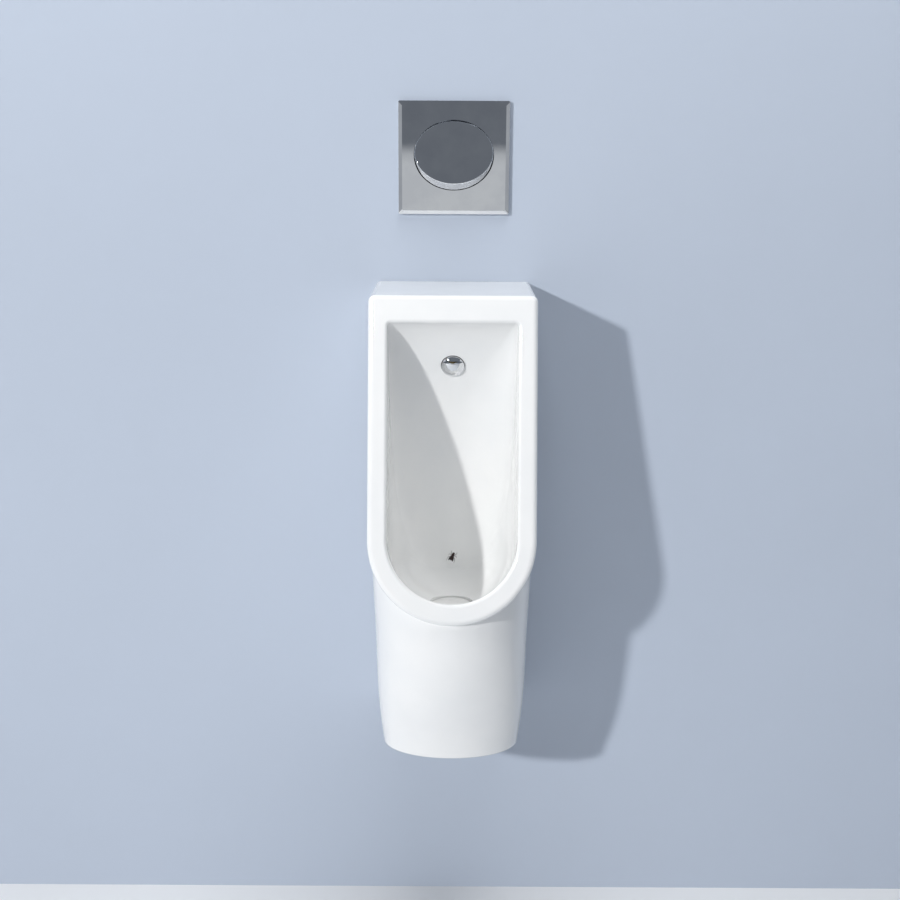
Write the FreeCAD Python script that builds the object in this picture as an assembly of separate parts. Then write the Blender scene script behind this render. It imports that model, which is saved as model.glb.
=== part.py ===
"""Wall-hung urinal with its concealed flush valve, in millimetres.

Frame: +Z is up, the finished wall is the plane Y = 0, the user stands on the -Y side, and what is built
into the wall lies on the +Y side. The origin is the centre of the four wall screws, on the finished wall.
"""
import FreeCAD
import Part

import math
import os

from FreeCAD import Placement, Rotation, Vector

# Driving sizes of the glazed ceramic body
body_width = 245.0
body_height = 700.0
top_depth = 188.0
lip_depth = 302.0
lip_drop = 463.0
outer_wall = 12.0
bowl_wall = 12.0

# Rim and opening of the ceramic
rim_side = 28.0
rim_top = 38.0
rim_foot = 35.5
body_corner = 10.0
opening_corner = 5.0
rim_round = 8.0
opening_round = 5.0

# Bowl behind the opening
bowl_back = 78.0
bowl_pole_drop = 443.0
bowl_floor_drop = 488.0
drain_depth = 150.0
hollow_start = 62.0

# Shares and powers that shape the bowl's sections, from its opening to its pole
section_shares = (
    0, 0.06, 0.13, 0.21, 0.3, 0.4, 0.5, 0.6, 0.7, 0.78, 0.85, 0.9, 0.94, 0.965, 0.982, 0.993, 0.998,
)
floor_share = 0.6
back_power = 1.6
side_power = 3.5
foot_power = 2
corner_share = 0.92
corner_limit_share = 0.45
foot_limit_share = 0.5

# Skirt: each row gives shares of the body's height, half width and lip depth, and of the rounded front
skirt_shares = (
    (0.470, 0.994, 0.850, 0.400),
    (0.570, 0.988, 0.910, 0.395),
    (0.655, 0.965, 0.955, 0.385),
    (0.750, 0.939, 0.940, 0.360),
    (0.850, 0.922, 0.895, 0.320),
    (0.930, 0.890, 0.835, 0.280),
    (1.000, 0.845, 0.790, 0.270),
)
skirt_foot_round = 4.0

# Wall screws, in two rows
hanger_drop = 100.0
lower_screw_rise = 100.0
screw_inset = 42.5
screw_radius = 3.8
screw_thread_radius = 4.0
screw_in_wall = 55.0
hex_flats = 13.0
hex_height = 6.5
washer_thickness = 1.6
hanger_washer_radius = 9.0

# Steel hanger brackets and the ceramic web that hooks over them
hanger_width = 36.0
hanger_plate = 3.0
hanger_foot = 22.0
hanger_shelf_rise = 30.0
hanger_lip = 18.0
web_thickness = 15.0
web_gap = 0.5

# Lower fixings in the skirt
lug_thickness = 16.0
lug_width = 44.0
lug_height = 46.0
lug_hole_radius = 9.0
sleeve_flange_radius = 14.0
sleeve_flange = 3.0
stud_washer_radius = 12.0
stud_end_spare = 5.0
cap_wall = 2.0
cap_length = 16.0

# Water inlet of the ceramic and the chrome spreader
spreader_share = 0.315
spreader_step_share = 0.02
inlet_radius = 20.0
inlet_wall = 12.0
inlet_depth = 76.0
inlet_setback = 6.0
spreader_hole_radius = 13.0
spreader_seat_radius = 17.8
spreader_seat_depth = 1.5
spreader_radius = 17.0
spreader_rim = 3.0
spreader_dome = 7.5
spreader_slit = 3.6
spreader_slit_share = 0.57
spreader_socket = 4.5
spreader_tube_radius = 10.0
spreader_tube_wall = 2.5
spreader_tube_length = 30.0
grommet_length = 24.0

# Drain in the bowl's floor
drain_seat_radius = 33.0
drain_recess = 4.0
drain_bore_radius = 25.0
neck_wall = 12.0
neck_length = 44.0
cover_radius = 32.0
cover_thickness = 2.5
cover_dome = 4.0
cover_lift = 6.5
cover_skirt = 9.0
cover_clear = 0.5
cover_slots = 10
cover_slot_width = 4.0
cover_slot_drop = 5.0
cover_feet = 5
cover_foot_width = 3.0

# Bottle trap hidden in the skirt
trap_inlet_radius = 20.0
trap_wall = 3.0
trap_seal_depth = 22.0
trap_seal_flange = 3.0
trap_seal_flange_radius = 31.0
trap_inlet_rise = 26.0
trap_head_gap = 8.0
trap_head_radius = 44.0
trap_head_height = 76.0
trap_branch_drop = 30.0
trap_branch_radius = 28.0
trap_branch_end = 66.0
waste_pipe_radius = 24.5
waste_spigot_radius = 25.0
waste_pipe_wall = 3.0
waste_socket_depth = 22.0
waste_in_wall = 45.0
waste_seal_width = 5.0
waste_nut_radius = 36.0
waste_nut_grip = 14.0
waste_nut_lip = 4.0
dip_tube_radius = 14.5
dip_tube_wall = 2.5
dip_tube_flange = 3.0
dip_tube_reach = 36.0
cup_depth = 52.0
cup_collar_radius = 49.0
cup_collar_grip = 16.0
cup_seal = 2.0

# Chrome flush plate and its button
plate_size = 170.0
plate_depth = 11.0
plate_skin = 2.0
plate_side = 5.0
plate_corner = 2.0
plate_bevel = 5.5
plate_bevel_depth = 3.0
plate_rise = 190.0
plate_peg_radius = 3.0
plate_peg_inset = 9.0
button_half_width = 60.0
button_half_height = 49.0
button_tilt = 17.0
button_proud = 3.0
button_rise = 3.0
button_gap = 0.6
button_wall = 2.5
button_edge_round = 2.0
button_back = 7.0
button_boss_radius = 12.0
button_travel = 6.0

# Slider, spring and push rod behind the button
slider_disc_radius = 40.0
slider_disc = 3.0
slider_spare = 2.0
stem_radius = 10.0
stem_end = 17.0
clip_radius = 13.0
clip_thickness = 1.6
clip_groove = 1.5
push_rod_radius = 2.5
push_rod_thread = 10.0
button_spring_radius = 15.5
button_spring_wire = 0.8
button_spring_turns = 3.0

# Mounting frame on the wall box
frame_size = 150.0
frame_thickness = 3.0
frame_window_shares = (0.92, 0.82)
frame_spoke = 4.0
frame_spoke_width = 14.0
guide_wall = 3.0
guide_front = 5.0
spring_seat_radius = 20.0
guide_back = 12.0
frame_screw_x = 55.0
frame_screw_z = 66.0
frame_screw_radius = 2.0
frame_screw_head_radius = 4.0
frame_screw_rim = 0.5
frame_screw_head = 2.5
frame_screw_grip = 14.0

# Plastic wall box
box_size = 150.0
box_depth = 95.0
box_wall = 3.0
box_post = 12.0
box_post_depth = 20.0
ear_gauge = 180.0
ear_rows = 100.0
ear_setback = 20.0
ear_thickness = 4.0
ear_width = 26.0
ear_hole_radius = 3.5

# Brass valve body in the box
valve_depth = 56.0
valve_radius = 22.0
valve_rise = 60.0
valve_drop = 35.0
port_radius = 24.0
port_front = 28.0
port_back = 80.0
port_end_wall = 6.0
nipple_neck_radius = 9.5
nipple_radius = 10.48
nipple_length = 20.0
nipple_clear = 7.0
supply_bore_radius = 6.3
outlet_bore_radius = 11.0
valve_ear_reach = 40.0
valve_ear_hole = 33.0
valve_ear_thickness = 6.0
valve_ear_height = 18.0
valve_ear_front = 68.0
valve_screw_radius = 2.5
valve_screw_head_radius = 4.5
valve_screw_head = 4.0
valve_screw_grip = 12.0
valve_post_radius = 6.5

# Cartridge and its spool
cartridge_radius = 16.8
cartridge_flange_radius = 21.0
cartridge_flange = 4.0
cartridge_front_wall = 6.0
spool_radius = 8.8
spool_spring_room = 5.0
spool_waist_radius = 5.0
spool_waist_length = 8.0
spool_lap = 2.0
spool_rod_radius = 4.0
spool_tip = 22.0
cartridge_port_radius = 4.0
ring_radius = 1.0
ring_setback = 4.0
spool_spring_radius = 6.0
spool_spring_wire = 0.6
spool_spring_turns = 3.0

# Ball stop between the supply and the cartridge
stop_rise = 38.0
stop_ball_radius = 9.5
stop_boss_radius = 9.0
stop_boss_front = 32.0
stop_spindle_radius = 4.0
stop_spindle_front = 27.0
stop_flat_depth = 2.0
stop_flat_thickness = 4.0
stop_slot_width = 1.6
stop_slot_depth = 2.5
stop_ring_share = 0.35

# Outlet nut, flush pipe and grommets
tail_radius = 18.6
tail_length = 17.0
outlet_seal_thickness = 2.0
pipe_radius = 16.0
pipe_wall = 3.0
pipe_collar = 4.0
pipe_bend = 50.0
pipe_in_ceramic = 54.0
inlet_seal_length = 46.0
inlet_seal_flange = 4.0
outlet_nut_radius = 26.0
outlet_nut_lip = 4.0
outlet_nut_grip = 15.0
box_grommet_lip = 3.5
box_grommet_reach = 3.0
box_grommet_wall = 3.2

# Clearances shared by all fits, and the overrun of every cut
fit = 0.2
loose_fit = 0.3
overrun = 40.0

# How near two places are when they count as the same, and the points on a coil's turn that measure its gap
nearness = 0.1
coil_samples = 48

X = Vector(1, 0, 0)
Y = Vector(0, 1, 0)
Z = Vector(0, 0, 1)
SIDES = (-1, 1)

# Places worked out from the driving sizes
half_width = body_width / 2
screw_rows = body_height - hanger_drop - lower_screw_rise
top_z = hanger_drop + screw_rows / 2
bottom_z = top_z - body_height
upper_screw_z = screw_rows / 2
lower_screw_z = -screw_rows / 2
screw_x = half_width - screw_inset
floor_z = top_z - bowl_floor_drop
plate_z = top_z + plate_rise
slope = math.atan2(lip_depth - top_depth, lip_drop)
rim_length = lip_drop / math.cos(slope)
rim_frame = Placement(Vector(0, -top_depth, top_z), Rotation(X, 90 - math.degrees(slope)))


def rod(start, direction, length, radius):
    """A round bar from a point along a direction."""
    return Part.makeCylinder(radius, length, start, direction)


def tube(start, direction, length, outer, inner):
    """A round tube from a point along a direction."""
    return rod(start, direction, length, outer).cut(rod(start, direction, length, inner))


def block(x, y, z):
    """A box between a low and a high value on each axis."""
    corner = Vector(min(x), min(y), min(z))
    return Part.makeBox(abs(x[1] - x[0]), abs(y[1] - y[0]), abs(z[1] - z[0]), corner)


def hexagon(start, direction, length, flats):
    """A hexagonal bar, given its size across the flats."""
    corner_radius = flats / math.sqrt(3)
    corners = [Vector(corner_radius * math.cos(math.radians(60 * i)),
                      corner_radius * math.sin(math.radians(60 * i)), 0) for i in range(7)]
    bar = Part.Face(Part.makePolygon(corners)).extrude(Z * length)
    bar.Placement = Placement(start, Rotation(Z, direction))
    return bar


def turned(profile, start, direction):
    """A solid of revolution: profile points are (radius, height) along the direction from the start."""
    points = [Vector(radius, 0, height) for radius, height in profile]
    solid = Part.Face(Part.makePolygon(points + points[:1])).revolve(Vector(), Z, 360)
    solid.Placement = Placement(start, Rotation(Z, direction))
    return solid


def ring(start, direction, mean_radius, section_radius):
    """A rubber O-ring about a point."""
    return Part.makeTorus(mean_radius, section_radius, start, direction)


def coil(start, direction, length, mean_radius, wire_radius, turns):
    """An open compression spring that fills a length along a direction."""
    pitch = (length - 2 * wire_radius) / turns
    path = Part.Wire(Part.makeHelix(pitch, pitch * turns, mean_radius))
    points = path.discretize(round(turns * coil_samples) + 1)
    apart = [a.distanceToPoint(b) for i, a in enumerate(points) for b in points[i + coil_samples // 2:]]
    print("least gap in the coil", round(min(apart) - 2 * wire_radius, 2))
    section = Part.Wire(Part.makeCircle(wire_radius, Vector(mean_radius, 0, 0), Y))
    spring = Part.Solid(path.makePipeShell([section], True, True))
    spring.Placement = Placement(start + direction * wire_radius, Rotation(Z, direction))
    return spring


def save(name, *solids):
    """Writes one node, of one solid or of several like ones."""
    shape = solids[0] if len(solids) == 1 else Part.makeCompound(list(solids))
    shape.exportStep(os.path.join("parts", name + ".step"))
    print(name, "valid" if shape.isValid() else "NOT VALID", len(shape.Solids), round(shape.Volume))


def joined(shape, added):
    """A shape with others fused to it."""
    for other in added:
        shape = shape.fuse(other)
    return shape.removeSplitter()


def hollowed(shape, removed):
    """A shape with others cut from it."""
    for other in removed:
        shape = shape.cut(other)
    return shape.removeSplitter()


# Ceramic body: outline of the sloping front, drawn in the plane of the rim
def half_ellipse(middle, half, reach):
    """The half of an ellipse on the -Y side of its middle, from its +X end round to its -X end."""
    right, far, left = middle + X * half, middle - Y * reach, middle - X * half
    if half > reach:
        return Part.ArcOfEllipse(Part.Ellipse(right, far, middle), 0, math.pi).toShape()
    if half < reach:
        return Part.ArcOfEllipse(Part.Ellipse(far, left, middle), -math.pi / 2, math.pi / 2).toShape()
    return Part.Arc(right, far, left).toShape()


def shield(half, top, bottom, corner, foot):
    """A closed outline: flat top, two rounded corners, straight sides and a half-ellipse foot."""
    knee = bottom + foot
    diagonal = corner * (1 - math.sqrt(0.5))
    left_corner = Part.Arc(Vector(-half, top - corner, 0), Vector(-half + diagonal, top - diagonal, 0),
                           Vector(-half + corner, top, 0))
    right_corner = Part.Arc(Vector(half - corner, top, 0), Vector(half - diagonal, top - diagonal, 0),
                            Vector(half, top - corner, 0))
    right_knee, left_knee = Vector(half, knee, 0), Vector(-half, knee, 0)
    edges = [
        Part.LineSegment(Vector(-half + corner, top, 0), Vector(half - corner, top, 0)).toShape(),
        right_corner.toShape(),
        Part.LineSegment(Vector(half, top - corner, 0), right_knee).toShape(),
        half_ellipse(Vector(0, knee, 0), half, foot),
        Part.LineSegment(left_knee, Vector(-half, top - corner, 0)).toShape(),
        left_corner.toShape(),
    ]
    return Part.Wire(Part.__sortEdges__(edges))


def prism_to_wall(half, top, bottom, corner, setback):
    """The outline carried straight back from the rim's plane to beyond the wall."""
    outline = shield(half, top, bottom, corner, half)
    outline.translate(Vector(0, 0, -setback))
    outline.Placement = rim_frame.multiply(outline.Placement)
    return Part.Face(outline).extrude(Y * (lip_depth + overrun))


def skirt(inset, lowest, back):
    """The column below the rim, as a loft of rounded sections, drawn in by an inset."""
    heights = [top_z - body_height * row[0] for row in skirt_shares[:-1]] + [lowest]
    sections = []
    for (_, width_share, depth_share, front_share), z in zip(skirt_shares, heights):
        half = half_width * width_share - inset
        depth = lip_depth * depth_share - inset
        front = depth * front_share
        left, right = Vector(-half, front - depth, z), Vector(half, front - depth, z)
        left_back, right_back = Vector(-half, back, z), Vector(half, back, z)
        edges = [
            half_ellipse(Vector(0, front - depth, z), half, front),
            Part.LineSegment(left, left_back).toShape(),
            Part.LineSegment(left_back, right_back).toShape(),
            Part.LineSegment(right_back, right).toShape(),
        ]
        sections.append(Part.Wire(Part.__sortEdges__(edges)))
    return Part.makeLoft(sections, True, False)


# Bowl: sections parallel to the rim's plane shrink to a pole at the foot of the back wall
pole = rim_frame.inverse().multVec(Vector(0, -bowl_back, top_z - bowl_pole_drop))
floor_point = rim_frame.inverse().multVec(Vector(0, -drain_depth, floor_z))

def bowl_section(share, grow):
    """Half width, top, bottom, corner and foot of the bowl at a share of its depth."""
    top = pole.y + (-rim_top + grow - pole.y) * (1 - share ** back_power)
    lip, deepest = rim_foot - rim_length - grow, floor_point.y - grow
    if share <= floor_share:
        bottom = deepest + (lip - deepest) * (1 - share / floor_share) ** foot_power
    else:
        closing = (share - floor_share) / (1 - floor_share)
        bottom = pole.y + (deepest - pole.y) * math.sqrt(1 - closing ** 2)
    half = (half_width - rim_side + grow) * math.sqrt(1 - share ** side_power)
    height = top - bottom
    blend = min(1, share / floor_share) ** 2 * (3 - 2 * min(1, share / floor_share))
    corner = opening_corner + (corner_share * half - opening_corner) * blend
    return half, top, bottom, min(corner, corner_limit_share * height), min(half, foot_limit_share * height)


def bowl(grow):
    """The space of the bowl, or with grow the outside of its wall."""
    depth = grow - pole.z
    sections = []
    for share in section_shares:
        outline = shield(*bowl_section(share, grow))
        outline.translate(Vector(0, 0, -share * depth))
        sections.append(outline)
    mouth = Part.Face(shield(*bowl_section(0, grow))).extrude(Z * overrun)
    space = Part.makeLoft(sections, True, False).fuse(mouth).removeSplitter()
    space.Placement = rim_frame
    return space


def back_wall_point(share):
    """A point on the bowl's centre line, from the opening's top edge down the back wall."""
    return rim_frame.multVec(Vector(0, bowl_section(share, 0)[1], share * pole.z))


# Spreader and inlet: square to the sloping back wall
spreader_point = back_wall_point(spreader_share)
step_above = back_wall_point(spreader_share - spreader_step_share)
step_below = back_wall_point(spreader_share + spreader_step_share)
spreader_axis = Vector(0, step_below.z - step_above.z, step_above.y - step_below.y).normalize()
inlet_z = spreader_point.z - spreader_axis.z / spreader_axis.y * (spreader_point.y + inlet_depth)
passage_length = -spreader_point.y - inlet_depth + spreader_hole_radius
recess_z = floor_z - drain_recess
neck_foot_z = floor_z - neck_length
shelf_z = upper_screw_z + hanger_shelf_rise


def edges_on_plane(shape, tangent_plane_point, normal, inside):
    """Edges of a shape that lie in a plane and pass a test on their middle."""
    found = []
    for edge in shape.Edges:
        middle = edge.valueAt((edge.FirstParameter + edge.LastParameter) / 2)
        ends = [vertex.Point for vertex in edge.Vertexes] + [middle]
        flat = all(abs((point - tangent_plane_point).dot(normal)) < nearness for point in ends)
        if flat and inside(middle):
            found.append(edge)
    return found


def ceramic_outside():
    """The outer form: the sloping upper body and the skirt, with rounded glaze edges."""
    height = (bottom_z - overrun, top_z + overrun)
    wall_side = block((-body_width, body_width), (0, lip_depth + overrun), height)
    upper = prism_to_wall(half_width, 0, -rim_length, body_corner, 0).cut(wall_side)
    normal = rim_frame.Rotation.multVec(Z)
    upper = upper.makeFillet(rim_round, edges_on_plane(upper, rim_frame.Base, normal, lambda point: True))
    column = skirt(0, bottom_z, 0)
    foot_edges = edges_on_plane(column, Vector(0, 0, bottom_z), Z, lambda point: point.y < -nearness)
    column = column.makeFillet(skirt_foot_round, foot_edges)
    return upper.fuse(column)


def ceramic_hollow():
    """The open space behind the bowl and inside the skirt."""
    top = -outer_wall / math.cos(slope)
    bottom = outer_wall - rim_length
    upper = prism_to_wall(half_width - outer_wall, top, bottom, body_corner, hollow_start)
    column = skirt(outer_wall, bottom_z - overrun, overrun)
    return upper.fuse(column).cut(bowl(bowl_wall))


def ceramic_inner_webs():
    """The hanging web, the two screw lugs, the inlet boss and the outlet neck."""
    inside = half_width - outer_wall / 2
    web_y = (-hanger_plate - web_gap, -hanger_plate - web_gap - web_thickness)
    webs = [block((-inside, inside), web_y, (shelf_z, top_z - outer_wall / 2))]
    for side in SIDES:
        lug_x = (side * (screw_x - lug_width / 2), side * (half_width - outer_wall))
        webs.append(block(lug_x, (0, -lug_thickness),
                          (lower_screw_z - lug_height / 2, lower_screw_z + lug_height / 2)))
    boss_start = Vector(0, -inlet_setback, inlet_z)
    webs.append(rod(boss_start, -Y, -spreader_point.y - inlet_setback, inlet_radius + inlet_wall))
    webs.append(rod(spreader_point, -spreader_axis, passage_length, spreader_hole_radius + inlet_wall))
    neck_start = Vector(0, -drain_depth, neck_foot_z)
    webs.append(rod(neck_start, Z, neck_length, drain_bore_radius + neck_wall))
    return webs


def ceramic_holes():
    """Inlet bore and spreader hole with their seats, drain and the sleeves' holes."""
    seat = spreader_point - spreader_axis * spreader_seat_depth
    holes = [
        rod(Vector(0, 0, inlet_z), -Y, inlet_depth, inlet_radius),
        rod(Vector(0, 0, inlet_z), -Y, inlet_setback, inlet_radius + inlet_wall),
        rod(spreader_point, -spreader_axis, passage_length, spreader_hole_radius),
        rod(seat, spreader_axis, overrun, spreader_seat_radius),
        rod(Vector(0, -drain_depth, recess_z), Z, overrun, drain_seat_radius),
        rod(Vector(0, -drain_depth, neck_foot_z), Z, neck_length, drain_bore_radius),
    ]
    for side in SIDES:
        holes.append(rod(Vector(side * screw_x, 0, lower_screw_z), -Y, lug_thickness, lug_hole_radius))
    return holes


def in_opening(point):
    """Whether a point of the front plane lies nearer to the opening's edge than to the rim's."""
    beside = abs(point.x) < half_width - rim_side / 2
    below = point.z < top_z - rim_top / 2
    above = point.z > top_z - lip_drop + rim_foot / 2
    return beside and below and above


def ceramic_body():
    """Outside less hollow, plus the inner webs, less the bowl and the holes."""
    outside = ceramic_outside()
    space = bowl(0)
    shell = outside.cut(ceramic_hollow())
    webs = [web.common(outside) for web in ceramic_inner_webs()]
    shell = joined(shell, webs).cut(space)
    normal = rim_frame.Rotation.multVec(Z)
    shell = shell.makeFillet(opening_round, edges_on_plane(shell, rim_frame.Base, normal, in_opening))
    return hollowed(shell, ceramic_holes())


# Spray head: a domed chrome cap on a brass tube, in a rubber bush that sits in the ceramic's seat
spreader_up = Vector(0, spreader_axis.z, -spreader_axis.y)
spreader_seat = spreader_point - spreader_axis * spreader_seat_depth


def dome(start, direction, radius, rim, rise):
    """A round cap with an upright rim and a spherical top."""
    ball_radius = (radius ** 2 + rise ** 2) / (2 * rise)
    ball = Part.makeSphere(ball_radius, start + direction * (rim + rise - ball_radius))
    return rod(start, direction, rim + rise, radius).common(ball)


def spreader_cap():
    """The dome, with a socket for its tube and a slit across its upper part."""
    cap = dome(spreader_point, spreader_axis, spreader_radius, spreader_rim, spreader_dome)
    cap = cap.cut(rod(spreader_point, spreader_axis, spreader_socket, spreader_tube_radius + fit))
    slit = Part.makeBox(2 * spreader_radius, spreader_slit, spreader_dome,
                        Vector(-spreader_radius, -spreader_slit / 2, 0))
    middle = spreader_up * (spreader_slit_share * spreader_radius) + spreader_axis * spreader_rim
    slit.Placement = Placement(spreader_point + middle, Rotation(X, spreader_up, spreader_axis, "XZY"))
    return cap.cut(slit)


def spreader_tube():
    """The brass tube from the inlet to the cap."""
    start = spreader_seat - spreader_axis * spreader_tube_length
    length = spreader_tube_length + spreader_seat_depth + spreader_rim - fit
    inner = spreader_tube_radius - spreader_tube_wall
    return tube(start, spreader_axis, length, spreader_tube_radius, inner)


def spreader_grommet():
    """The flanged rubber bush round the tube."""
    inner, outer = spreader_tube_radius + fit, spreader_hole_radius - fit
    flange = spreader_seat_radius - fit
    end = grommet_length + spreader_seat_depth
    profile = [(inner, 0), (outer, 0), (outer, grommet_length), (flange, grommet_length), (flange, end),
               (inner, end)]
    return turned(profile, spreader_seat - spreader_axis * grommet_length, spreader_axis)


# Drain cover: a shallow dome on small feet, with a slotted ring that centres it in the bore
def drain_cover():
    """The strainer that lifts out: water runs in under its edge and through the slots of its ring."""
    seat = Vector(0, -drain_depth, recess_z)
    ring_outer = drain_bore_radius - cover_clear
    joint = cover_lift + cover_thickness / 2
    posts = tube(seat - Z * cover_skirt, Z, cover_skirt + joint, ring_outer, ring_outer - cover_thickness)
    for i in range(cover_slots):
        slot = block((0, drain_bore_radius), (-cover_slot_width / 2, cover_slot_width / 2),
                     (-cover_slot_drop, joint))
        slot.Placement = Placement(seat, Rotation(Z, 360 * (i + 0.5) / cover_slots))
        posts = posts.cut(slot)
    cover = dome(seat + Z * cover_lift, Z, cover_radius, cover_thickness, cover_dome).fuse(posts)
    for i in range(cover_feet):
        foot = block((drain_bore_radius + cover_clear, cover_radius - cover_clear),
                     (-cover_foot_width / 2, cover_foot_width / 2), (0, joint))
        foot.Placement = Placement(seat, Rotation(Z, 360 * i / cover_feet))
        cover = cover.fuse(foot)
    return cover


# Bottle trap: head on the ceramic's neck, dip tube, screwed cup, and the waste pipe to the wall
head_top_z = neck_foot_z - trap_head_gap
head_foot_z = head_top_z - trap_head_height
branch_z = head_top_z - trap_branch_drop
ledge_z = head_top_z + trap_wall
branch_face = -trap_branch_end


def on_drain(z):
    """A point on the drain's axis."""
    return Vector(0, -drain_depth, z)


def on_branch(y):
    """A point on the waste branch's axis."""
    return Vector(0, y, branch_z)


def trap_inlet_seal():
    """The rubber sleeve between the ceramic's neck and the trap."""
    inner, outer = trap_inlet_radius + fit, drain_bore_radius - fit
    top = trap_seal_flange + trap_seal_depth
    profile = [(inner, 0), (trap_seal_flange_radius, 0), (trap_seal_flange_radius, trap_seal_flange),
               (outer, trap_seal_flange), (outer, top), (inner, top)]
    return turned(profile, on_drain(neck_foot_z - trap_seal_flange), Z)


def trap_body():
    """Inlet tube, round head and side branch in one plastic moulding."""
    inlet_top = neck_foot_z + trap_inlet_rise
    branch_length = drain_depth - trap_branch_end
    head = rod(on_drain(head_foot_z), Z, trap_head_height, trap_head_radius)
    outside = [
        rod(on_drain(head_top_z), Z, inlet_top - head_top_z, trap_inlet_radius),
        rod(on_branch(-drain_depth), Y, branch_length, trap_branch_radius),
    ]
    inside = [
        rod(on_drain(head_foot_z), Z, trap_head_height - trap_wall, trap_head_radius - trap_wall),
        rod(on_drain(head_foot_z), Z, inlet_top - head_foot_z, dip_tube_radius + loose_fit),
        rod(on_drain(ledge_z), Z, inlet_top - ledge_z, trap_inlet_radius - trap_wall),
        rod(on_branch(-drain_depth), Y, branch_length, waste_pipe_radius - waste_pipe_wall),
        rod(on_branch(branch_face - waste_socket_depth), Y, waste_socket_depth, waste_pipe_radius + fit),
    ]
    return hollowed(joined(head, outside), inside)


def trap_dip_tube():
    """The tube that carries the water down into the cup."""
    reach = ledge_z - head_foot_z + dip_tube_reach
    flange = trap_inlet_radius - trap_wall - fit
    inner = dip_tube_radius - dip_tube_wall
    profile = [(inner, 0), (dip_tube_radius, 0), (dip_tube_radius, reach), (flange, reach),
               (flange, reach + dip_tube_flange), (inner, reach + dip_tube_flange)]
    return turned(profile, on_drain(ledge_z - reach), Z)


def trap_cup():
    """The screwed cup that holds the water seal."""
    inner, outer = trap_head_radius - trap_wall, trap_head_radius
    shoulder, collar_top = cup_depth - cup_seal, cup_depth + cup_collar_grip
    thread = trap_head_radius + fit
    profile = [(0, 0), (outer, 0), (outer, shoulder - trap_wall),
               (cup_collar_radius, shoulder - trap_wall), (cup_collar_radius, collar_top),
               (thread, collar_top), (thread, shoulder), (inner, shoulder), (inner, trap_wall),
               (0, trap_wall)]
    return turned(profile, on_drain(head_foot_z - cup_depth), Z)


def trap_cup_seal():
    """The flat ring between the head and the cup."""
    inner = trap_head_radius - trap_wall
    return tube(on_drain(head_foot_z - cup_seal), Z, cup_seal, trap_head_radius, inner)


def waste_seal():
    """The ring that the nut presses round the waste pipe."""
    return tube(on_branch(branch_face), Y, waste_seal_width, trap_branch_radius, waste_pipe_radius + fit)


def waste_nut():
    """The union nut on the branch."""
    bore, lip_bore = trap_branch_radius + fit, waste_pipe_radius + fit
    grip_end = waste_nut_grip + waste_seal_width
    end = grip_end + waste_nut_lip
    profile = [(bore, 0), (waste_nut_radius, 0), (waste_nut_radius, end), (lip_bore, end),
               (lip_bore, grip_end), (bore, grip_end)]
    return turned(profile, on_branch(branch_face - waste_nut_grip), Y)


def waste_pipe():
    """The pipe from the trap into the wall, a little thicker at its wall end."""
    start = branch_face - waste_socket_depth + fit
    inner = waste_pipe_radius - waste_pipe_wall
    pipe = tube(on_branch(start), Y, -start, waste_pipe_radius, inner)
    return pipe.fuse(tube(on_branch(0), Y, waste_in_wall, waste_spigot_radius, inner)).removeSplitter()


# Wall fixings: two hooks above on screws, two studs below
def screw_point(side, y, z):
    """A point on the axis of one wall screw."""
    return Vector(side * screw_x, y, z)


def wall_thread(side, z):
    """The coarse thread of a screw or stud in the wall, as its plain outer cylinder."""
    return rod(screw_point(side, 0, z), Y, screw_in_wall, screw_thread_radius)


def hanger_bracket(side):
    """A folded steel hook: foot on the wall, shelf under the ceramic's web, lip in front of it."""
    reach = -hanger_plate - web_gap - web_thickness - web_gap
    x = (side * screw_x - hanger_width / 2, side * screw_x + hanger_width / 2)
    foot = block(x, (0, -hanger_plate), (upper_screw_z - hanger_foot, shelf_z))
    shelf = block(x, (0, reach - hanger_plate), (shelf_z - hanger_plate, shelf_z))
    lip = block(x, (reach, reach - hanger_plate), (shelf_z - hanger_plate, shelf_z + hanger_lip))
    hole = rod(screw_point(side, 0, upper_screw_z), -Y, hanger_plate, screw_radius + fit)
    return foot.fuse(shelf).fuse(lip).cut(hole).removeSplitter()


def hanger_washer(side):
    """A washer under the head of a hanger screw."""
    start = screw_point(side, -hanger_plate, upper_screw_z)
    return tube(start, -Y, washer_thickness, hanger_washer_radius, screw_radius + fit)


def hanger_screw(side):
    """A hexagon-headed screw through the bracket into the wall."""
    under_head = screw_point(side, -hanger_plate - washer_thickness, upper_screw_z)
    head = hexagon(under_head, -Y, hex_height, hex_flats)
    shank = rod(under_head, Y, hanger_plate + washer_thickness, screw_radius)
    return joined(head, [shank, wall_thread(side, upper_screw_z)])


lug_front = -lug_thickness
flange_front = lug_front - sleeve_flange
washer_front = flange_front - washer_thickness
nut_front = washer_front - hex_height


def stud_sleeve(side):
    """A flanged plastic sleeve that keeps the stud off the ceramic."""
    inner, outer = screw_radius + fit, lug_hole_radius - fit
    end = lug_thickness + sleeve_flange
    profile = [(inner, 0), (outer, 0), (outer, lug_thickness), (sleeve_flange_radius, lug_thickness),
               (sleeve_flange_radius, end), (inner, end)]
    return turned(profile, screw_point(side, 0, lower_screw_z), -Y)


def stud_washer(side):
    """A wide washer on the sleeve's flange."""
    start = screw_point(side, flange_front, lower_screw_z)
    return tube(start, -Y, washer_thickness, stud_washer_radius, screw_radius + fit)


def stud_nut(side):
    """The hexagon nut on a stud."""
    start = screw_point(side, washer_front, lower_screw_z)
    return hexagon(start, -Y, hex_height, hex_flats).cut(rod(start, -Y, hex_height, screw_radius + fit))


def lower_stud(side):
    """The stud, from its coarse thread in the wall to just past the nut."""
    length = stud_end_spare - nut_front
    stud = rod(screw_point(side, -length, lower_screw_z), Y, length, screw_radius)
    return joined(stud, [wall_thread(side, lower_screw_z)])


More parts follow.
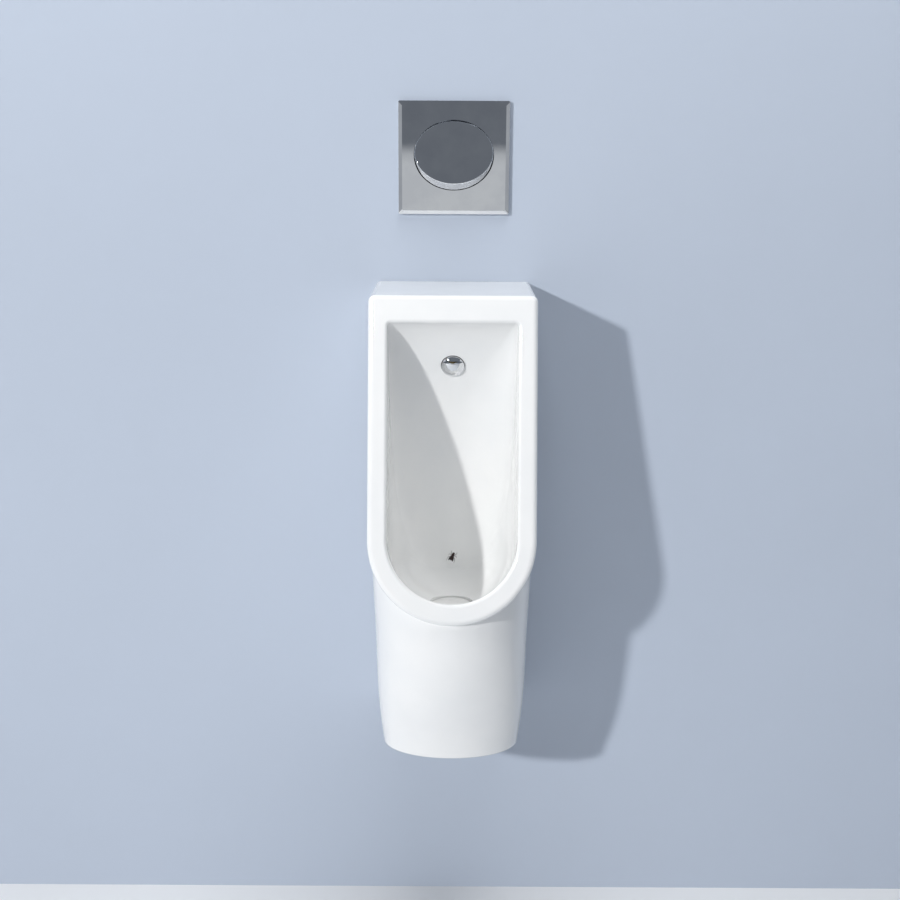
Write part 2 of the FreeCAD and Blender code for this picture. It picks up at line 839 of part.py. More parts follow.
def nut_cap(side):
    """A plastic cap over the nut, on the washer."""
    start = screw_point(side, washer_front, lower_screw_z)
    cap = rod(start, -Y, cap_length, stud_washer_radius)
    return cap.cut(rod(start, -Y, cap_length - cap_wall, stud_washer_radius - cap_wall))


# Flush plate and button: the button is an elliptical cap whose face is tilted upwards
tilt = math.radians(button_tilt)
button_in = Vector(0, math.cos(tilt), -math.sin(tilt))
button_up = Vector(0, math.sin(tilt), math.cos(tilt))
face_y = -plate_depth - button_proud - button_half_height * math.sin(tilt)
face_z = plate_z + button_rise + (-plate_depth - face_y) * math.tan(tilt)
face_middle = Vector(0, face_y, face_z)
press_rise = button_travel * math.tan(tilt)
disc_back = -guide_front - button_travel - slider_spare
disc_front = disc_back - slider_disc
control = Vector(0, 0, plate_z)
half_plate = plate_size / 2
long_cut = 3 * overrun
half_frame = frame_size / 2
half_box = box_size / 2


def on_control(x, y, z):
    """A point beside the button's axis."""
    return control + Vector(x, y, z)


def square_plate(half, y):
    """A square block centred on the button's axis."""
    return block((-half, half), y, (plate_z - half, plate_z + half))


def rounded_square(half, y):
    """A square outline with rounded corners, about the button's axis."""
    flat = half - plate_corner
    diagonal = flat + plate_corner * math.sqrt(0.5)
    edges = []
    for quarter in range(4):
        turn = Rotation(Y, 90 * quarter)
        start = turn.multVec(Vector(-flat, 0, half))
        end = turn.multVec(Vector(flat, 0, half))
        bend = turn.multVec(Vector(diagonal, 0, diagonal))
        corner_end = turn.multVec(Vector(half, 0, flat))
        edges.append(Part.LineSegment(start, end).toShape())
        edges.append(Part.Arc(end, bend, corner_end).toShape())
    outline = Part.Wire(edges)
    outline.translate(on_control(0, y, 0))
    return outline


def tilted_ellipse(grow, setback, length):
    """An elliptical bar along the button's axis, from a depth behind its face."""
    middle = face_middle + button_in * setback
    side = middle + X * (button_half_width + grow)
    top = middle + button_up * (button_half_height + grow)
    outline = Part.Ellipse(side, top, middle)
    return Part.Face(Part.Wire(outline.toShape())).extrude(button_in * length)


def flush_plate():
    """The bevelled chrome plate, hollow behind, with a hole that clears the button out and in."""
    outlines = [
        rounded_square(half_plate, 0),
        rounded_square(half_plate, plate_bevel_depth - plate_depth),
        rounded_square(half_plate - plate_bevel, -plate_depth),
    ]
    plate = Part.makeLoft(outlines, True, True)
    plate = plate.cut(square_plate(half_plate - plate_side, (plate_skin - plate_depth, 0)))
    peg_place = half_frame - plate_peg_inset
    for x in SIDES:
        for z in SIDES:
            start = on_control(x * peg_place, -frame_thickness, z * peg_place)
            plate = plate.fuse(rod(start, -Y, plate_depth - plate_skin - frame_thickness, plate_peg_radius))
    hole = tilted_ellipse(button_gap + press_rise / 2, -overrun, long_cut)
    hole.translate(Z * (press_rise / 2))
    return plate.cut(hole).removeSplitter()


def flush_button():
    """The tilted cap with a boss behind its face."""
    outside = tilted_ellipse(0, 0, long_cut)
    rim = edges_on_plane(outside, face_middle, button_in, lambda point: True)
    outside = outside.makeFillet(button_edge_round, rim)
    behind = square_plate(plate_size, (-button_back, long_cut))
    boss = rod(on_control(0, disc_front, 0), -Y, long_cut, button_boss_radius).common(outside)
    shell = outside.cut(behind).cut(tilted_ellipse(-button_wall, button_wall, long_cut))
    return shell.fuse(boss).removeSplitter()


def button_slider():
    """Disc and stem that guide the button, with a groove for the clip and a bore for the push rod."""
    slider = rod(on_control(0, disc_front, 0), Y, slider_disc, slider_disc_radius)
    slider = slider.fuse(rod(on_control(0, disc_back, 0), Y, stem_end - disc_back, stem_radius))
    clip_space = tube(on_control(0, guide_back + loose_fit, 0), Y, clip_thickness + fit, clip_radius,
                      stem_radius - clip_groove)
    bore = rod(on_control(0, stem_end - push_rod_thread, 0), Y, push_rod_thread, push_rod_radius + fit)
    return hollowed(slider, [clip_space, bore])


def slider_clip():
    """The retaining ring that keeps the slider in its guide."""
    start = on_control(0, guide_back + loose_fit + fit / 2, 0)
    return tube(start, Y, clip_thickness, clip_radius, stem_radius - clip_groove + fit)


def push_rod():
    """The threaded rod from the slider to the valve's spool."""
    start = stem_end - push_rod_thread
    return rod(on_control(0, start, 0), Y, spool_tip - loose_fit - start, push_rod_radius)


def button_spring():
    """The return spring between the slider's disc and the frame."""
    start = on_control(0, disc_back, 0)
    return coil(start, Y, -disc_back, button_spring_radius, button_spring_wire, button_spring_turns)


def frame_screw_places():
    """The four screws of the mounting frame."""
    return [(x * frame_screw_x, z * frame_screw_z) for x in SIDES for z in SIDES]


def mounting_frame():
    """The plastic frame on the wall box, with a guide for the slider."""
    frame = square_plate(half_frame, (-frame_thickness, 0))
    window_x, window_z = (share * half_frame for share in frame_window_shares)
    middle = on_control(0, -frame_thickness, 0)
    window = Part.Ellipse(middle + X * window_x, middle + Z * window_z, middle)
    frame = frame.cut(Part.Face(Part.Wire(window.toShape())).extrude(Y * frame_thickness))
    reach = half_box - box_wall - loose_fit
    spoke = frame_spoke_width / 2
    guide_outer = stem_radius + fit + guide_wall
    added = [
        block((-reach, reach), (0, frame_spoke), (plate_z - spoke, plate_z + spoke)),
        block((-spoke, spoke), (0, frame_spoke), (plate_z - reach, plate_z + reach)),
        rod(control, Y, frame_spoke, spring_seat_radius),
        rod(on_control(0, -guide_front, 0), Y, guide_front + guide_back, guide_outer),
    ]
    holes = [rod(on_control(0, -guide_front, 0), Y, guide_front + guide_back, stem_radius + fit)]
    for x, z in frame_screw_places():
        holes.append(rod(on_control(x, -frame_thickness, z), Y, frame_thickness, frame_screw_radius + fit))
    return hollowed(joined(frame, added), holes)


def frame_screw(x, z):
    """A round-headed screw through the frame into a post of the box."""
    under_head = on_control(x, -frame_thickness, z)
    head = dome(under_head, -Y, frame_screw_head_radius, frame_screw_rim, frame_screw_head)
    shank = rod(under_head, Y, frame_thickness + frame_screw_grip, frame_screw_radius)
    return head.fuse(shank).removeSplitter()


# Wall box, open at the front
supply_hole = nipple_neck_radius + fit + box_grommet_wall
pipe_hole = pipe_radius + fit + box_grommet_wall
valve_ear_back = valve_ear_front + valve_ear_thickness


def wall_box():
    """The box built into the wall, with posts for the frame and the valve and four fixing ears."""
    inner = half_box - box_wall
    back = box_depth - box_wall
    box = square_plate(half_box, (0, box_depth)).cut(square_plate(inner, (0, back)))
    added, holes = [], []
    for x, z in frame_screw_places():
        post_x = (x - box_post / 2, x + box_post / 2)
        post_z = (plate_z + math.copysign(inner, z), plate_z + z - math.copysign(box_post / 2, z))
        added.append(block(post_x, (0, box_post_depth), post_z))
        holes.append(rod(on_control(x, 0, z), Y, frame_screw_grip + fit, frame_screw_radius + fit))
    for side in SIDES:
        start = on_control(side * valve_ear_hole, valve_ear_back, 0)
        added.append(rod(start, Y, back - valve_ear_back, valve_post_radius))
        holes.append(rod(start, Y, valve_screw_grip + fit, valve_screw_radius + fit))
        for row in SIDES:
            x, z = side * ear_gauge / 2, row * ear_rows / 2
            ear_x = (side * half_box, x + side * ear_width / 2)
            added.append(block(ear_x, (ear_setback, ear_setback + ear_thickness),
                               (plate_z + z - ear_width / 2, plate_z + z + ear_width / 2)))
            holes.append(rod(on_control(x, ear_setback, z), Y, ear_thickness, ear_hole_radius))
    holes.append(rod(on_control(0, valve_depth, inner), Z, box_wall, supply_hole + fit))
    holes.append(rod(on_control(0, valve_depth, -half_box), Z, box_wall, pipe_hole + fit))
    return hollowed(joined(box, added), holes)


def box_grommet(z, bore, body):
    """A rubber ring with a groove for the box's wall."""
    flange = body + box_grommet_lip
    inner_face, outer_face = box_grommet_reach, box_grommet_reach + box_wall
    end = outer_face + box_grommet_reach
    profile = [(bore, 0), (flange, 0), (flange, inner_face), (body, inner_face), (body, outer_face),
               (flange, outer_face), (flange, end), (bore, end)]
    return turned(profile, on_control(0, valve_depth, z - box_grommet_reach), Z)


# Valve: supply nipple, ball stop, cartridge port and outlet tail on one brass body
cavity_end = port_back - port_end_wall
tail_foot = -valve_drop - tail_length
neck_top = half_box + nipple_clear


def on_valve(y, z):
    """A point in the valve's middle plane: its depth in the wall, its height over the button's axis."""
    return on_control(0, y, z)


def valve_body():
    """The brass body with all its bores."""
    stop_front = on_valve(stop_boss_front, stop_rise)
    added = [
        rod(on_valve(port_front, 0), Y, port_back - port_front, port_radius),
        rod(stop_front, Y, valve_depth - stop_boss_front, stop_boss_radius),
        rod(on_valve(valve_depth, valve_rise), Z, neck_top - valve_rise, nipple_neck_radius),
        rod(on_valve(valve_depth, neck_top), Z, nipple_length, nipple_radius),
        rod(on_valve(valve_depth, tail_foot), Z, tail_length, tail_radius),
        block((-valve_ear_reach, valve_ear_reach), (valve_ear_front, valve_ear_back),
              (plate_z - valve_ear_height / 2, plate_z + valve_ear_height / 2)),
    ]
    removed = [
        rod(on_valve(port_front, 0), Y, cavity_end - port_front, cartridge_radius + fit),
        rod(on_valve(valve_depth, 0), Z, neck_top + nipple_length, supply_bore_radius),
        rod(on_valve(valve_depth, 0), -Z, -tail_foot, outlet_bore_radius),
        Part.makeSphere(stop_ball_radius + fit, on_valve(valve_depth, stop_rise)),
        rod(stop_front, Y, valve_depth - stop_boss_front, stop_spindle_radius + fit),
    ]
    for side in SIDES:
        start = on_control(side * valve_ear_hole, valve_ear_front, 0)
        removed.append(rod(start, Y, valve_ear_thickness, valve_screw_radius + fit))
    barrel = rod(on_valve(valve_depth, -valve_drop), Z, valve_drop + valve_rise, valve_radius)
    return hollowed(joined(barrel, added), removed)


def valve_screw(side):
    """A screw that holds the valve to a post of the box."""
    under_head = on_control(side * valve_ear_hole, valve_ear_front, 0)
    head = rod(under_head, -Y, valve_screw_head, valve_screw_head_radius)
    shank = rod(under_head, Y, valve_ear_thickness + valve_screw_grip, valve_screw_radius)
    return head.fuse(shank).removeSplitter()


def groove(y, z, outer, floor_radius):
    """The space of an O-ring groove round a shaft along Y."""
    return tube(on_valve(y - ring_radius - fit / 2, z), Y, 2 * ring_radius + fit, outer, floor_radius)


def ring_seat(bore_radius):
    """Mean radius of an O-ring in a bore, and the radius of its groove's floor."""
    mean = bore_radius - ring_radius - fit / 4
    return mean, mean - ring_radius - fit / 4


cartridge_ring_y = port_front + ring_setback
cartridge_ring_mean, cartridge_ring_floor = ring_seat(cartridge_radius + fit)
cartridge_front = port_front - cartridge_flange
bore_start = cartridge_front + cartridge_front_wall


def valve_cartridge():
    """The plastic sleeve with the spool's bore and its two water ports."""
    sleeve = rod(on_valve(port_front, 0), Y, cavity_end - port_front, cartridge_radius)
    sleeve = sleeve.fuse(rod(on_valve(cartridge_front, 0), Y, cartridge_flange, cartridge_flange_radius))
    ports = rod(on_valve(valve_depth, -port_radius), Z, 2 * port_radius, cartridge_port_radius)
    removed = [
        rod(on_valve(cartridge_front, 0), Y, cartridge_front_wall, spool_rod_radius + fit),
        rod(on_valve(bore_start, 0), Y, cavity_end - bore_start, spool_radius + fit),
        ports,
        groove(cartridge_ring_y, 0, port_radius, cartridge_ring_floor),
    ]
    return hollowed(sleeve, removed)


spool_start = bore_start + loose_fit
spool_end = cavity_end - button_travel - spool_spring_room
waist_start = valve_depth - cartridge_port_radius - spool_lap - spool_waist_length
spool_ring_places = ((spool_start + waist_start) / 2, spool_end - ring_radius - fit)
spool_ring_mean, spool_ring_floor = ring_seat(spool_radius + fit)


def valve_spool():
    """The sliding spool: its waist opens the ports when it is pushed in."""
    spool = rod(on_valve(spool_start, 0), Y, spool_end - spool_start, spool_radius)
    spool = spool.fuse(rod(on_valve(spool_tip, 0), Y, spool_start - spool_tip, spool_rod_radius))
    removed = [tube(on_valve(waist_start, 0), Y, spool_waist_length, port_radius, spool_waist_radius)]
    removed += [groove(y, 0, port_radius, spool_ring_floor) for y in spool_ring_places]
    return hollowed(spool, removed)


def spool_spring():
    """The spring that closes the spool."""
    return coil(on_valve(spool_end, 0), Y, cavity_end - spool_end, spool_spring_radius, spool_spring_wire,
                spool_spring_turns)


ball_front = valve_depth - stop_ball_radius
tongue_end = ball_front + stop_flat_depth
spindle_ring_y = stop_boss_front + (ball_front - stop_boss_front) * stop_ring_share
spindle_ring_mean, spindle_ring_floor = ring_seat(stop_spindle_radius + fit)


def stop_ball():
    """The drilled ball of the stop, slotted for its spindle."""
    middle = on_valve(valve_depth, stop_rise)
    ball = Part.makeSphere(stop_ball_radius, middle)
    water_way = rod(middle - Z * stop_ball_radius, Z, 2 * stop_ball_radius, supply_bore_radius)
    slot_half = stop_flat_thickness / 2 + fit
    slot = block((-slot_half, slot_half), (ball_front - overrun, tongue_end + fit),
                 (middle.z - overrun, middle.z + overrun))
    return ball.cut(water_way).cut(slot)


def stop_spindle():
    """The spindle: a screwdriver slot in front, a tongue in the ball behind."""
    length = ball_front - stop_spindle_front
    spindle = rod(on_valve(stop_spindle_front, stop_rise), Y, length, stop_spindle_radius)
    tongue = rod(on_valve(ball_front, stop_rise), Y, stop_flat_depth, stop_spindle_radius)
    half_flat, half_slot = stop_flat_thickness / 2, stop_slot_width / 2
    height = (plate_z + stop_rise - stop_spindle_radius, plate_z + stop_rise + stop_spindle_radius)
    tongue = tongue.common(block((-half_flat, half_flat), (ball_front, tongue_end), height))
    slot_y = (stop_spindle_front, stop_spindle_front + stop_slot_depth)
    slot = block((-half_slot, half_slot), slot_y, height)
    ring_groove = groove(spindle_ring_y, stop_rise, stop_boss_radius, spindle_ring_floor)
    return hollowed(spindle.fuse(tongue), [slot, ring_groove])


# Outlet union and the bent flush pipe to the ceramic
collar_top = tail_foot - outlet_seal_thickness
collar_foot = collar_top - pipe_collar


def outlet_seal():
    """The flat ring in the outlet union."""
    start = on_valve(valve_depth, collar_top)
    return tube(start, Z, outlet_seal_thickness, tail_radius - fit, pipe_radius - pipe_wall)


def outlet_nut():
    """The union nut on the valve's tail."""
    thread, lip_bore = tail_radius + fit, pipe_radius + fit
    end = outlet_nut_lip + tail_foot - collar_foot + outlet_nut_grip
    profile = [(lip_bore, 0), (outlet_nut_radius, 0), (outlet_nut_radius, end), (thread, end),
               (thread, outlet_nut_lip), (lip_bore, outlet_nut_lip)]
    return turned(profile, on_valve(valve_depth, collar_foot - outlet_nut_lip), Z)


def bent_bar(radius):
    """A bar down from the union, round the bend and forward into the ceramic."""
    bend_start = Vector(0, valve_depth, inlet_z + pipe_bend)
    bend_middle = bend_start - Y * pipe_bend
    end_y = valve_depth - pipe_bend
    down = rod(bend_start, Z, plate_z + collar_top - bend_start.z, radius)
    section = Part.Face(Part.Wire(Part.makeCircle(radius, bend_start, Z)))
    bend = section.revolve(bend_middle, -X, 90)
    forward = rod(Vector(0, end_y, inlet_z), -Y, end_y + pipe_in_ceramic, radius)
    return down.fuse(bend).fuse(forward)


def flush_pipe():
    """The flush pipe with the collar that its union nut pulls up."""
    collar = rod(on_valve(valve_depth, collar_foot), Z, pipe_collar, tail_radius - fit)
    return bent_bar(pipe_radius).fuse(collar).cut(bent_bar(pipe_radius - pipe_wall)).removeSplitter()


def inlet_seal():
    """The flanged rubber sleeve between the flush pipe and the ceramic's inlet."""
    inner, outer, flange = pipe_radius + fit, inlet_radius - fit, inlet_radius + inlet_wall / 2
    end = inlet_seal_length + inlet_seal_flange
    profile = [(inner, 0), (outer, 0), (outer, inlet_seal_length), (flange, inlet_seal_length),
               (flange, end), (inner, end)]
    return turned(profile, Vector(0, -inlet_setback - inlet_seal_length, inlet_z), Y)


os.makedirs("parts", exist_ok=True)

save("ceramic_body", ceramic_body())
save("spreader_cap", spreader_cap())
save("spreader_tube", spreader_tube())
save("spreader_grommet", spreader_grommet())
save("drain_cover", drain_cover())

save("trap_inlet_seal", trap_inlet_seal())
save("trap_body", trap_body())
save("trap_dip_tube", trap_dip_tube())
save("trap_cup", trap_cup())
save("trap_cup_seal", trap_cup_seal())
save("waste_seal", waste_seal())
save("waste_nut", waste_nut())
save("waste_pipe", waste_pipe())

save("hanger_brackets", *[hanger_bracket(side) for side in SIDES])
save("hanger_washers", *[hanger_washer(side) for side in SIDES])
save("hanger_screws", *[hanger_screw(side) for side in SIDES])
save("stud_sleeves", *[stud_sleeve(side) for side in SIDES])
save("stud_washers", *[stud_washer(side) for side in SIDES])
save("stud_nuts", *[stud_nut(side) for side in SIDES])
save("lower_studs", *[lower_stud(side) for side in SIDES])
save("nut_caps", *[nut_cap(side) for side in SIDES])

save("flush_plate", flush_plate())
save("flush_button", flush_button())
save("button_slider", button_slider())
save("slider_clip", slider_clip())
save("push_rod", push_rod())
save("button_spring", button_spring())
save("mounting_frame", mounting_frame())
save("frame_screws", *[frame_screw(x, z) for x, z in frame_screw_places()])

save("wall_box", wall_box())
save("supply_grommet", box_grommet(half_box - box_wall, nipple_neck_radius + fit, supply_hole))
save("pipe_grommet", box_grommet(-half_box, pipe_radius + fit, pipe_hole))
save("valve_body", valve_body())
save("valve_screws", *[valve_screw(side) for side in SIDES])
save("valve_cartridge", valve_cartridge())
save("cartridge_ring", ring(on_valve(cartridge_ring_y, 0), Y, cartridge_ring_mean, ring_radius))
save("valve_spool", valve_spool())
save("spool_rings", *[ring(on_valve(y, 0), Y, spool_ring_mean, ring_radius) for y in spool_ring_places])
save("spool_spring", spool_spring())
save("stop_ball", stop_ball())
save("stop_spindle", stop_spindle())
save("spindle_ring", ring(on_valve(spindle_ring_y, stop_rise), Y, spindle_ring_mean, ring_radius))
save("outlet_seal", outlet_seal())
save("outlet_nut", outlet_nut())
save("flush_pipe", flush_pipe())
save("inlet_seal", inlet_seal())
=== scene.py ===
"""Looks of a wall-hung urinal with a concealed flush valve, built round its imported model, in metres."""
import math

import bpy
from mathutils import Matrix, Vector
from mathutils.bvhtree import BVHTree


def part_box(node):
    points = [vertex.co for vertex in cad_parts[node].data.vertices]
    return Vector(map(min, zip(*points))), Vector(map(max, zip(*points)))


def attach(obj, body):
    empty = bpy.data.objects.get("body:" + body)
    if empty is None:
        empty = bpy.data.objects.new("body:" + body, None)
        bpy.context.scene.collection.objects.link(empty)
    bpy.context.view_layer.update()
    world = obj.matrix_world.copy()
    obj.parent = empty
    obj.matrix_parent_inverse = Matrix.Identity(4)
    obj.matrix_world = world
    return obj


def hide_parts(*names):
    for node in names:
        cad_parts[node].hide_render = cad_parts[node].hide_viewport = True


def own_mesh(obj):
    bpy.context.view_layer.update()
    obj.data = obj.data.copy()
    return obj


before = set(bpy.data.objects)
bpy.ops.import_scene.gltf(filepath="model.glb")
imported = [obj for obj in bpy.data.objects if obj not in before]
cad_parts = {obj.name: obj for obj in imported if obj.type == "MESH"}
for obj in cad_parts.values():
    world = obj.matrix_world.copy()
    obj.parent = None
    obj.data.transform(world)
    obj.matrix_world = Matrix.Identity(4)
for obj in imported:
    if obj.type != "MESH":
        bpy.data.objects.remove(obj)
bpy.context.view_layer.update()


# Wall hooks: two folded steel brackets, each held to the wall by a hexagon screw and a washer.
# They are pressed from plate and zinc plated, which leaves a dull, cloudy shine.
def graded(ramp, places, colours):
    """Sets a ramp's two ends to two places and two colours."""
    for end, place, colour in zip((0, 1), places, colours):
        ramp.color_ramp.elements[end].position = place
        ramp.color_ramp.elements[end].color = (*colour, 1)


def coat(tree, dark, pale, patch, rough, grain, depth, stretch=(1, 1, 1), **shader_values):
    """A shader: patches between two colours, uneven gloss, and a grain of a real size and depth."""
    patch_edges, gloss_edges = (0.36, 0.64), (0.3, 0.7)
    nodes, links = tree.nodes, tree.links
    shader = nodes.new("ShaderNodeBsdfPrincipled")
    for socket, value in shader_values.items():
        shader.inputs[socket.replace("_", " ")].default_value = value
    place = nodes.new("ShaderNodeTexCoord")
    drawn = nodes.new("ShaderNodeMapping")
    drawn.inputs["Scale"].default_value = stretch
    links.new(place.outputs["Object"], drawn.inputs["Vector"])

    def noise(size, detail):
        """Noise whose patches are about a size across."""
        node = nodes.new("ShaderNodeTexNoise")
        node.inputs["Scale"].default_value = 1 / size
        node.inputs["Detail"].default_value = detail
        links.new(drawn.outputs["Vector"], node.inputs["Vector"])
        return node.outputs["Fac"]

    clouds = noise(patch, detail=4)
    tint = nodes.new("ShaderNodeValToRGB")
    graded(tint, patch_edges, (dark, pale))
    links.new(clouds, tint.inputs["Fac"])
    links.new(tint.outputs["Color"], shader.inputs["Base Color"])
    gloss = nodes.new("ShaderNodeMapRange")
    gloss.inputs["From Min"].default_value, gloss.inputs["From Max"].default_value = gloss_edges
    gloss.inputs["To Min"].default_value, gloss.inputs["To Max"].default_value = rough
    links.new(noise(patch / 2, detail=5), gloss.inputs["Value"])
    links.new(gloss.outputs["Result"], shader.inputs["Roughness"])
    relief = nodes.new("ShaderNodeBump")
    relief.inputs["Distance"].default_value = depth
    links.new(noise(grain, detail=3), relief.inputs["Height"])
    links.new(relief.outputs["Normal"], shader.inputs["Normal"])
    return shader.outputs["BSDF"]


def empty_finish(name):
    """A material with nothing on it yet, and the tree that holds its nodes."""
    finish = bpy.data.materials.new(name)
    finish.use_nodes = True
    finish.node_tree.nodes.remove(finish.node_tree.nodes["Principled BSDF"])
    return finish, finish.node_tree


def surface(name, **look):
    """A finish of one coat."""
    finish, tree = empty_finish(name)
    tree.links.new(coat(tree, **look), tree.nodes["Material Output"].inputs["Surface"])
    return finish


def finished(finish, *names):
    """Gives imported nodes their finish."""
    for name in names:
        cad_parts[name].material_slots[0].material = finish


zinc_plate = surface("zinc_plate", dark=(0.46, 0.47, 0.49), pale=(0.66, 0.66, 0.64), patch=0.012,
                     rough=(0.28, 0.45), grain=0.0012, depth=0.00003, Metallic=1.0)
finished(zinc_plate, "hanger_brackets", "hanger_washers", "hanger_screws")


# Ceramic body: one slip-cast piece of vitreous china that hangs on the hooks.
# White glaze covers the front and the whole bowl; the back edge and the sides of the open back stay bare.
def parted(tree, share, first, second):
    """Shows the second shader where a share is one, and the first where it is zero."""
    mix = tree.nodes.new("ShaderNodeMixShader")
    tree.links.new(share, mix.inputs["Fac"])
    tree.links.new(first, mix.inputs[1])
    tree.links.new(second, mix.inputs[2])
    tree.links.new(mix.outputs["Shader"], tree.nodes["Material Output"].inputs["Surface"])


def compared(tree, operation, first, second):
    """A sum or test of a value with another one, or with a fixed limit."""
    step = tree.nodes.new("ShaderNodeMath")
    step.operation = operation
    tree.links.new(first, step.inputs[0])
    if isinstance(second, float):
        step.inputs[1].default_value = second
    else:
        tree.links.new(second, step.inputs[1])
    return step.outputs["Value"]


def bare_ceramic(tree):
    """One on the back edge and inside the open back, and zero elsewhere."""
    bowl_back_y, back_edge_y, hollow_top_z = -0.06, -0.0015, 0.3375
    foot_z, taper_top_z = -0.35, 0.035
    foot_half, upper_half = 0.0975, 0.1165
    place = tree.nodes.new("ShaderNodeTexCoord")
    parts = tree.nodes.new("ShaderNodeSeparateXYZ")
    tree.links.new(place.outputs["Object"], parts.inputs["Vector"])
    x, y, z = parts.outputs
    half = tree.nodes.new("ShaderNodeMapRange")
    half.inputs["From Min"].default_value = foot_z
    half.inputs["From Max"].default_value = taper_top_z
    half.inputs["To Min"].default_value = foot_half
    half.inputs["To Max"].default_value = upper_half
    tree.links.new(z, half.inputs["Value"])
    across = compared(tree, "ABSOLUTE", x, 0.0)
    hollow = compared(tree, "MULTIPLY", compared(tree, "LESS_THAN", across, half.outputs["Result"]),
                      compared(tree, "GREATER_THAN", y, bowl_back_y))
    hollow = compared(tree, "MULTIPLY", hollow, compared(tree, "LESS_THAN", z, hollow_top_z))
    return compared(tree, "MAXIMUM", hollow, compared(tree, "GREATER_THAN", y, back_edge_y))


china, china_tree = empty_finish("glazed_china")
white_glaze = coat(china_tree, dark=(0.865, 0.87, 0.865), pale=(0.895, 0.895, 0.885), patch=0.09,
                   rough=(0.05, 0.09), grain=0.011, depth=0.00003, Coat_Weight=0.3, Coat_Roughness=0.03)
biscuit = coat(china_tree, dark=(0.56, 0.5, 0.42), pale=(0.68, 0.62, 0.54), patch=0.025,
               rough=(0.72, 0.88), grain=0.0012, depth=0.0001)
parted(china_tree, bare_ceramic(china_tree), white_glaze, biscuit)
finished(china, "ceramic_body")


# Lower fixings: two steel studs through flanged plastic sleeves in the skirt's lugs.
# A wide washer and a nut pull each up, and a white cap hides it.
pipe_grey = surface("pipe_grey", dark=(0.36, 0.37, 0.39), pale=(0.43, 0.44, 0.46), patch=0.03,
                    rough=(0.42, 0.55), grain=0.0018, depth=0.00003)
white_plastic = surface("white_plastic", dark=(0.8, 0.8, 0.785), pale=(0.84, 0.84, 0.83), patch=0.02,
                        rough=(0.28, 0.38), grain=0.002, depth=0.00003)
finished(pipe_grey, "stud_sleeves")
finished(zinc_plate, "stud_washers", "stud_nuts", "lower_studs")
finished(white_plastic, "nut_caps")


# Spray head: a domed chrome cap with a slit, on a brass tube in a rubber bush.
# The bush is pressed into the seat in the bowl's back wall.
chrome = surface("chrome", dark=(0.74, 0.75, 0.77), pale=(0.8, 0.81, 0.82), patch=0.03,
                 rough=(0.012, 0.03), grain=0.006, depth=0.000001, Metallic=1.0)
brass = surface("brass", dark=(0.52, 0.36, 0.14), pale=(0.68, 0.5, 0.22), patch=0.015,
                rough=(0.25, 0.42), grain=0.0012, depth=0.00004, Metallic=1.0)
black_rubber = surface("black_rubber", dark=(0.018, 0.018, 0.019), pale=(0.035, 0.035, 0.036), patch=0.008,
                       rough=(0.62, 0.8), grain=0.0007, depth=0.00003)
finished(chrome, "spreader_cap")
finished(brass, "spreader_tube")
finished(black_rubber, "spreader_grommet")


# Strainer: a shallow white dome that lies loose on the drain's seat.
# It is moulded in one with the slotted ring that centres it.
finished(white_plastic, "drain_cover")


# Bottle trap: white plastic mouldings with a screwed cup, below the drain.
# A union nut and a rubber ring join it to the grey waste pipe in the wall.
finished(white_plastic, "trap_body", "trap_dip_tube", "trap_cup", "waste_nut")
finished(black_rubber, "trap_inlet_seal", "trap_cup_seal", "waste_seal")
finished(pipe_grey, "waste_pipe")


# Wall box: a blue plastic box built into the wall, open to the front.
# Rubber grommets seal it round the supply and the flush pipe.
box_blue = surface("box_blue", dark=(0.105, 0.21, 0.375), pale=(0.12, 0.235, 0.405), patch=0.03,
                   rough=(0.45, 0.6), grain=0.0016, depth=0.00005)
finished(box_blue, "wall_box")
finished(black_rubber, "supply_grommet", "pipe_grommet")


# Flush valve: a brass casting with a ball stop and a plastic cartridge, screwed into the box.
# A steel spool slides in the cartridge and a spring closes it.
moulded_grey = surface("moulded_grey", dark=(0.6, 0.61, 0.62), pale=(0.68, 0.69, 0.7), patch=0.015,
                       rough=(0.4, 0.55), grain=0.0012, depth=0.00003)
ground_steel = surface("ground_steel", dark=(0.42, 0.42, 0.41), pale=(0.58, 0.58, 0.57), patch=0.006,
                       rough=(0.2, 0.34), grain=0.0006, depth=0.000006, stretch=(1, 12, 1), Metallic=1.0)
finished(brass, "valve_body", "stop_ball", "stop_spindle", "outlet_nut")
finished(zinc_plate, "valve_screws")
finished(moulded_grey, "valve_cartridge")
finished(ground_steel, "valve_spool")
finished(black_rubber, "cartridge_ring", "spool_rings", "spindle_ring", "outlet_seal")


